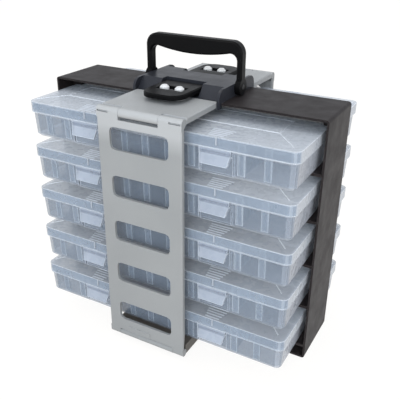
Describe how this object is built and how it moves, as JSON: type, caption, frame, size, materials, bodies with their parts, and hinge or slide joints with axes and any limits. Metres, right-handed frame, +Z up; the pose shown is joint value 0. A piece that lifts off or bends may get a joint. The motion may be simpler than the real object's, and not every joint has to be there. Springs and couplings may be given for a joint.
{
  "type": "battery storage drawer case",
  "caption": "Carry rack of lidded see-through boxes on both sides, held in by hinged windowed straps with rocker latches under a folding handle.",
  "frame": {"origin": "on the ground under the middle of the rack", "axes": "+X to the right along the front, +Y to the rear, +Z up"},
  "size_m": [0.35, 0.2372, 0.358],
  "materials": {
    "rack_grey": "fine texture",
    "saddle_grey": "satin",
    "handle_black": "glossy",
    "strap_grey": "satin",
    "box_clear": "translucent polypropylene",
    "pin_steel": "plain"
  },
  "bodies": {
    "rack": {"rack_hoop": "rack_grey", "rack_middle_wall": "rack_grey", "rack_ledges": "rack_grey", "rack_keepers": "rack_grey", "base_beam": "rack_grey", "saddle": "saddle_grey", "handle_pivots": "pin_steel", "front_lower_hinge_pin": "pin_steel", "rear_lower_hinge_pin": "pin_steel"},
    "handle": {"handle": "handle_black"},
    "front_panel": {"front_strap_panel": "strap_grey", "front_upper_hinge_pin": "pin_steel"},
    "front_flap": {"front_strap_flap": "strap_grey", "front_latch_pin": "pin_steel"},
    "front_rocker": {"front_latch_rocker": "handle_black"},
    "front_box_1": {"front_tray_1": "box_clear", "front_lid_1": "box_clear"},
    "front_catch_left_1": {"front_catch_left_1": "box_clear"},
    "front_catch_right_1": {"front_catch_right_1": "box_clear"},
    "front_box_2": {"front_tray_2": "box_clear", "front_lid_2": "box_clear"},
    "front_catch_left_2": {"front_catch_left_2": "box_clear"},
    "front_catch_right_2": {"front_catch_right_2": "box_clear"},
    "front_box_3": {"front_tray_3": "box_clear", "front_lid_3": "box_clear"},
    "front_catch_left_3": {"front_catch_left_3": "box_clear"},
    "front_catch_right_3": {"front_catch_right_3": "box_clear"},
    "front_box_4": {"front_tray_4": "box_clear", "front_lid_4": "box_clear"},
    "front_catch_left_4": {"front_catch_left_4": "box_clear"},
    "front_catch_right_4": {"front_catch_right_4": "box_clear"},
    "front_box_5": {"front_tray_5": "box_clear", "front_lid_5": "box_clear"},
    "front_catch_left_5": {"front_catch_left_5": "box_clear"},
    "front_catch_right_5": {"front_catch_right_5": "box_clear"},
    "rear_panel": {"rear_strap_panel": "strap_grey", "rear_upper_hinge_pin": "pin_steel"},
    "rear_flap": {"rear_strap_flap": "strap_grey", "rear_latch_pin": "pin_steel"},
    "rear_rocker": {"rear_latch_rocker": "handle_black"},
    "rear_box_1": {"rear_tray_1": "box_clear", "rear_lid_1": "box_clear"},
    "rear_catch_left_1": {"rear_catch_left_1": "box_clear"},
    "rear_catch_right_1": {"rear_catch_right_1": "box_clear"},
    "rear_box_2": {"rear_tray_2": "box_clear", "rear_lid_2": "box_clear"},
    "rear_catch_left_2": {"rear_catch_left_2": "box_clear"},
    "rear_catch_right_2": {"rear_catch_right_2": "box_clear"},
    "rear_box_3": {"rear_tray_3": "box_clear", "rear_lid_3": "box_clear"},
    "rear_catch_left_3": {"rear_catch_left_3": "box_clear"},
    "rear_catch_right_3": {"rear_catch_right_3": "box_clear"},
    "rear_box_4": {"rear_tray_4": "box_clear", "rear_lid_4": "box_clear"},
    "rear_catch_left_4": {"rear_catch_left_4": "box_clear"},
    "rear_catch_right_4": {"rear_catch_right_4": "box_clear"},
    "rear_box_5": {"rear_tray_5": "box_clear", "rear_lid_5": "box_clear"},
    "rear_catch_left_5": {"rear_catch_left_5": "box_clear"},
    "rear_catch_right_5": {"rear_catch_right_5": "box_clear"}
  },
  "joints": [
    {"name": "handle_swing", "type": "hinge", "parent": "rack", "child": "handle", "pos_m": [0, 0, 0.3082], "axis": [1, 0, 0], "range_deg": [-70, 70]},
    {"name": "front_panel_hinge", "type": "hinge", "parent": "rack", "child": "front_panel", "pos_m": [0, -0.1134, 0.0115], "axis": [1, 0, 0], "range_deg": [0, 90]},
    {"name": "front_flap_hinge", "type": "hinge", "parent": "front_panel", "child": "front_flap", "pos_m": [0, -0.1127, 0.2954], "axis": [1, 0, 0], "range_deg": [0, 80]},
    {"name": "front_rocker_press", "type": "hinge", "parent": "front_flap", "child": "front_rocker", "pos_m": [0, -0.05, 0.30734], "axis": [1, 0, 0], "range_deg": [0, 8]},
    {"name": "front_box_1_slide", "type": "slide", "parent": "rack", "child": "front_box_1", "axis": [0, -1, 0], "range_m": [0, 0.0332]},
    {"name": "front_catch_left_1_snap", "type": "hinge", "parent": "front_box_1", "child": "front_catch_left_1", "pos_m": [0, -0.0981, 0.0484], "axis": [-1, 0, 0], "range_deg": [0, 60]},
    {"name": "front_catch_right_1_snap", "type": "hinge", "parent": "front_box_1", "child": "front_catch_right_1", "pos_m": [0, -0.0981, 0.0484], "axis": [-1, 0, 0], "range_deg": [0, 60]},
    {"name": "front_box_2_slide", "type": "slide", "parent": "rack", "child": "front_box_2", "axis": [0, -1, 0], "range_m": [0, 0.0458]},
    {"name": "front_catch_left_2_snap", "type": "hinge", "parent": "front_box_2", "child": "front_catch_left_2", "pos_m": [0, -0.0981, 0.10375], "axis": [-1, 0, 0], "range_deg": [0, 60]},
    {"name": "front_catch_right_2_snap", "type": "hinge", "parent": "front_box_2", "child": "front_catch_right_2", "pos_m": [0, -0.0981, 0.10375], "axis": [-1, 0, 0], "range_deg": [0, 60]},
    {"name": "front_box_3_slide", "type": "slide", "parent": "rack", "child": "front_box_3", "axis": [0, -1, 0], "range_m": [0, 0.0552]},
    {"name": "front_catch_left_3_snap", "type": "hinge", "parent": "front_box_3", "child": "front_catch_left_3", "pos_m": [0, -0.0981, 0.1591], "axis": [-1, 0, 0], "range_deg": [0, 60]},
    {"name": "front_catch_right_3_snap", "type": "hinge", "parent": "front_box_3", "child": "front_catch_right_3", "pos_m": [0, -0.0981, 0.1591], "axis": [-1, 0, 0], "range_deg": [0, 60]},
    {"name": "front_box_4_slide", "type": "slide", "parent": "rack", "child": "front_box_4", "axis": [0, -1, 0], "range_m": [0, 0.063]},
    {"name": "front_catch_left_4_snap", "type": "hinge", "parent": "front_box_4", "child": "front_catch_left_4", "pos_m": [0, -0.0981, 0.21445], "axis": [-1, 0, 0], "range_deg": [0, 60]},
    {"name": "front_catch_right_4_snap", "type": "hinge", "parent": "front_box_4", "child": "front_catch_right_4", "pos_m": [0, -0.0981, 0.21445], "axis": [-1, 0, 0], "range_deg": [0, 60]},
    {"name": "front_box_5_slide", "type": "slide", "parent": "rack", "child": "front_box_5", "axis": [0, -1, 0], "range_m": [0, 0.0693]},
    {"name": "front_catch_left_5_snap", "type": "hinge", "parent": "front_box_5", "child": "front_catch_left_5", "pos_m": [0, -0.0981, 0.2698], "axis": [-1, 0, 0], "range_deg": [0, 60]},
    {"name": "front_catch_right_5_snap", "type": "hinge", "parent": "front_box_5", "child": "front_catch_right_5", "pos_m": [0, -0.0981, 0.2698], "axis": [-1, 0, 0], "range_deg": [0, 60]},
    {"name": "rear_panel_hinge", "type": "hinge", "parent": "rack", "child": "rear_panel", "pos_m": [0, 0.1134, 0.0115], "axis": [-1, 0, 0], "range_deg": [0, 90]},
    {"name": "rear_flap_hinge", "type": "hinge", "parent": "rear_panel", "child": "rear_flap", "pos_m": [0, 0.1127, 0.2954], "axis": [-1, 0, 0], "range_deg": [0, 80]},
    {"name": "rear_rocker_press", "type": "hinge", "parent": "rear_flap", "child": "rear_rocker", "pos_m": [0, 0.05, 0.30734], "axis": [-1, 0, 0], "range_deg": [0, 8]},
    {"name": "rear_box_1_slide", "type": "slide", "parent": "rack", "child": "rear_box_1", "axis": [0, 1, 0], "range_m": [0, 0.0332]},
    {"name": "rear_catch_left_1_snap", "type": "hinge", "parent": "rear_box_1", "child": "rear_catch_left_1", "pos_m": [0, 0.0981, 0.0484], "axis": [1, 0, 0], "range_deg": [0, 60]},
    {"name": "rear_catch_right_1_snap", "type": "hinge", "parent": "rear_box_1", "child": "rear_catch_right_1", "pos_m": [0, 0.0981, 0.0484], "axis": [1, 0, 0], "range_deg": [0, 60]},
    {"name": "rear_box_2_slide", "type": "slide", "parent": "rack", "child": "rear_box_2", "axis": [0, 1, 0], "range_m": [0, 0.0458]},
    {"name": "rear_catch_left_2_snap", "type": "hinge", "parent": "rear_box_2", "child": "rear_catch_left_2", "pos_m": [0, 0.0981, 0.10375], "axis": [1, 0, 0], "range_deg": [0, 60]},
    {"name": "rear_catch_right_2_snap", "type": "hinge", "parent": "rear_box_2", "child": "rear_catch_right_2", "pos_m": [0, 0.0981, 0.10375], "axis": [1, 0, 0], "range_deg": [0, 60]},
    {"name": "rear_box_3_slide", "type": "slide", "parent": "rack", "child": "rear_box_3", "axis": [0, 1, 0], "range_m": [0, 0.0552]},
    {"name": "rear_catch_left_3_snap", "type": "hinge", "parent": "rear_box_3", "child": "rear_catch_left_3", "pos_m": [0, 0.0981, 0.1591], "axis": [1, 0, 0], "range_deg": [0, 60]},
    {"name": "rear_catch_right_3_snap", "type": "hinge", "parent": "rear_box_3", "child": "rear_catch_right_3", "pos_m": [0, 0.0981, 0.1591], "axis": [1, 0, 0], "range_deg": [0, 60]},
    {"name": "rear_box_4_slide", "type": "slide", "parent": "rack", "child": "rear_box_4", "axis": [0, 1, 0], "range_m": [0, 0.063]},
    {"name": "rear_catch_left_4_snap", "type": "hinge", "parent": "rear_box_4", "child": "rear_catch_left_4", "pos_m": [0, 0.0981, 0.21445], "axis": [1, 0, 0], "range_deg": [0, 60]},
    {"name": "rear_catch_right_4_snap", "type": "hinge", "parent": "rear_box_4", "child": "rear_catch_right_4", "pos_m": [0, 0.0981, 0.21445], "axis": [1, 0, 0], "range_deg": [0, 60]},
    {"name": "rear_box_5_slide", "type": "slide", "parent": "rack", "child": "rear_box_5", "axis": [0, 1, 0], "range_m": [0, 0.0693]},
    {"name": "rear_catch_left_5_snap", "type": "hinge", "parent": "rear_box_5", "child": "rear_catch_left_5", "pos_m": [0, 0.0981, 0.2698], "axis": [1, 0, 0], "range_deg": [0, 60]},
    {"name": "rear_catch_right_5_snap", "type": "hinge", "parent": "rear_box_5", "child": "rear_catch_right_5", "pos_m": [0, 0.0981, 0.2698], "axis": [1, 0, 0], "range_deg": [0, 60]}
  ],
  "couplings": [
    {"joint": "front_box_1_slide", "follows": "front_panel_hinge", "m_per_rad": 0.021},
    {"joint": "front_box_2_slide", "follows": "front_panel_hinge", "m_per_rad": 0.029},
    {"joint": "front_box_3_slide", "follows": "front_panel_hinge", "m_per_rad": 0.035},
    {"joint": "front_box_4_slide", "follows": "front_panel_hinge", "m_per_rad": 0.04},
    {"joint": "front_box_5_slide", "follows": "front_panel_hinge", "m_per_rad": 0.044},
    {"joint": "rear_box_1_slide", "follows": "rear_panel_hinge", "m_per_rad": 0.021},
    {"joint": "rear_box_2_slide", "follows": "rear_panel_hinge", "m_per_rad": 0.029},
    {"joint": "rear_box_3_slide", "follows": "rear_panel_hinge", "m_per_rad": 0.035},
    {"joint": "rear_box_4_slide", "follows": "rear_panel_hinge", "m_per_rad": 0.04},
    {"joint": "rear_box_5_slide", "follows": "rear_panel_hinge", "m_per_rad": 0.044}
  ]
}
